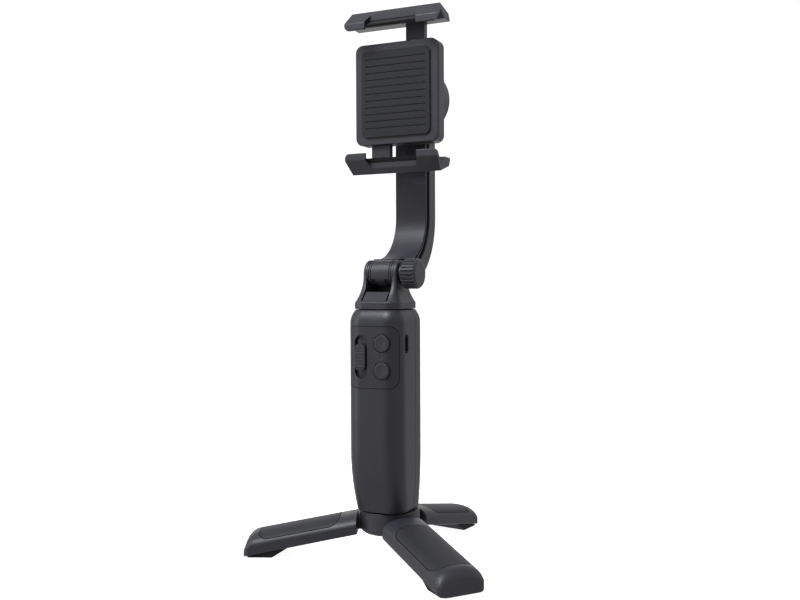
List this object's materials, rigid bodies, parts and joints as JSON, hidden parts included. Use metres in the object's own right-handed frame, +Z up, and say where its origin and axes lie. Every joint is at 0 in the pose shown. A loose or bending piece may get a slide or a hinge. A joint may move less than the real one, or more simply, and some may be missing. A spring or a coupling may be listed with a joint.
{
  "type": "gimbal stabilizer",
  "caption": "Hand-held single-axis stabilizer for a phone: spring clamp on a roll motor and tilting arm, telescopic handle with buttons, and a folding mini tripod.",
  "frame": {"origin": "on the surface that the tripod stands on, under the middle of the box round the whole object", "axes": "+Z up along the handle; -Y is the front, with the buttons, and the way the held phone faces; +X is the side of the tilt knob"},
  "size_m": [0.1372, 0.1296, 0.2813],
  "materials": {
    "handle_plastic": "fine satin moulded texture",
    "panel_plastic": "smooth satin moulded plastic",
    "button_plastic": "satin moulded plastic",
    "leg_plastic": "fine satin moulded texture",
    "soft_pad": "soft-touch inlay",
    "rubber": "dull moulded rubber",
    "arm_plastic": "fine satin moulded texture",
    "pinion_plastic": "natural acetal",
    "steel": "brushed stainless steel",
    "brass": "turned brass",
    "copper": "enamelled copper winding",
    "board": "solder mask",
    "battery_wrap": "plastic wrap"
  },
  "bodies": {
    "tripod_base": {"tripod_hub": "leg_plastic", "tripod_stud": "steel", "hub_washer": "rubber", "leg_pin_1": "steel", "leg_pin_2": "steel", "leg_pin_3": "steel"},
    "tripod_leg_1": {"leg_1": "leg_plastic", "leg_pad_1": "soft_pad", "leg_foot_1": "rubber"},
    "tripod_leg_2": {"leg_2": "leg_plastic", "leg_pad_2": "soft_pad", "leg_foot_2": "rubber"},
    "tripod_leg_3": {"leg_3": "leg_plastic", "leg_pad_3": "soft_pad", "leg_foot_3": "rubber"},
    "handle": {"handle_front_shell": "handle_plastic", "handle_back_shell": "handle_plastic", "control_panel": "panel_plastic", "main_circuit_board": "board", "battery_cell": "battery_wrap", "thread_block": "handle_plastic", "thread_insert": "brass", "rod_guide_tube": "steel", "usb_c_socket": "steel", "case_screw_upper": "steel", "case_screw_lower": "steel"},
    "shutter_key": {"shutter_button": "button_plastic"},
    "mode_key": {"mode_button": "button_plastic"},
    "zoom_key": {"zoom_rocker": "button_plastic"},
    "rod_1": {"rod_section_1": "steel"},
    "rod_2": {"rod_section_2": "steel"},
    "rod_head": {"rod_section_3": "steel", "hinge_base": "arm_plastic", "hinge_front_cover": "arm_plastic", "hinge_bolt": "steel", "friction_washer_left": "steel", "friction_washer_right": "steel"},
    "knob": {"tilt_knob": "arm_plastic"},
    "arm": {"arm_body": "arm_plastic", "arm_cover": "arm_plastic", "knuckle_cover": "arm_plastic", "motor_stator": "copper", "motor_board": "board", "bearing_front": "steel", "bearing_rear": "steel", "motor_back_cap": "arm_plastic"},
    "clamp": {"motor_rotor": "steel", "motor_shaft": "steel", "clamp_base": "arm_plastic", "clamp_front_plate": "arm_plastic", "clamp_pad": "rubber", "guide_rod_left": "steel", "guide_rod_right": "steel", "upper_spring": "steel", "lower_spring": "steel"},
    "jaw_top": {"upper_jaw": "arm_plastic", "upper_jaw_pad": "rubber"},
    "jaw_bottom": {"lower_jaw": "arm_plastic", "lower_jaw_pad": "rubber"},
    "jaw_gear": {"pinion": "pinion_plastic"}
  },
  "joints": [
    {"name": "leg_fold_1", "type": "hinge", "parent": "tripod_base", "child": "tripod_leg_1", "pos_m": [0.00535, -0.00195, 0.0165], "axis": [-0.9893, 0.1461, 0], "range_deg": [0, 74]},
    {"name": "leg_fold_2", "type": "hinge", "parent": "tripod_base", "child": "tripod_leg_2", "pos_m": [-0.00379, -0.01349, 0.0165], "axis": [0.3681, -0.9298, 0], "range_deg": [0, 74]},
    {"name": "leg_fold_3", "type": "hinge", "parent": "tripod_base", "child": "tripod_leg_3", "pos_m": [0.01077, -0.01564, 0.0165], "axis": [0.6211, 0.7837, 0], "range_deg": [0, 74]},
    {"name": "handle_turn", "type": "hinge", "parent": "tripod_base", "child": "handle", "pos_m": [0.00411, -0.01036, 0.0242], "axis": [0, 0, 1], "range_deg": [0, 360]},
    {"name": "shutter_press", "type": "slide", "parent": "handle", "child": "shutter_key", "axis": [0, 1, 0], "range_m": [0, 0.0005], "stiffness_N_per_m": 100},
    {"name": "mode_press", "type": "slide", "parent": "handle", "child": "mode_key", "axis": [0, 1, 0], "range_m": [0, 0.0005], "stiffness_N_per_m": 100},
    {"name": "zoom_slide", "type": "slide", "parent": "handle", "child": "zoom_key", "axis": [0, 0, 1], "range_m": [-0.003, 0.003], "stiffness_N_per_m": 60},
    {"name": "rod_slide_1", "type": "slide", "parent": "handle", "child": "rod_1", "axis": [0, 0, 1], "range_m": [0, 0.06]},
    {"name": "rod_slide_2", "type": "slide", "parent": "rod_1", "child": "rod_2", "axis": [0, 0, 1], "range_m": [0, 0.06]},
    {"name": "rod_slide_3", "type": "slide", "parent": "rod_2", "child": "rod_head", "axis": [0, 0, 1], "range_m": [0, 0.06]},
    {"name": "knob_turn", "type": "hinge", "parent": "rod_head", "child": "knob", "pos_m": [0.01551, -0.01436, 0.1445], "axis": [1, 0, 0], "range_deg": [0, 360]},
    {"name": "tilt", "type": "hinge", "parent": "rod_head", "child": "arm", "pos_m": [0.00411, -0.01436, 0.1445], "axis": [1, 0, 0], "range_deg": [0, 143]},
    {"name": "roll", "type": "hinge", "parent": "arm", "child": "clamp", "pos_m": [0.00411, 0.00964, 0.2389], "axis": [0, 1, 0], "range_deg": [-160, 160]},
    {"name": "jaw_slide", "type": "slide", "parent": "clamp", "child": "jaw_top", "axis": [0, 0, 1], "range_m": [-0.008, 0.0085], "deforming": ["upper_spring"]},
    {"name": "lower_jaw_slide", "type": "slide", "parent": "clamp", "child": "jaw_bottom", "axis": [0, 0, 1], "range_m": [-0.0085, 0.008], "deforming": ["lower_spring"]},
    {"name": "pinion_turn", "type": "hinge", "parent": "clamp", "child": "jaw_gear", "pos_m": [0.00411, 0.00344, 0.2389], "axis": [0, 1, 0], "range_deg": [-123, 116]}
  ],
  "couplings": [
    {"joint": "lower_jaw_slide", "follows": "jaw_slide", "ratio": -1},
    {"joint": "pinion_turn", "follows": "jaw_slide", "rad_per_m": -250}
  ]
}
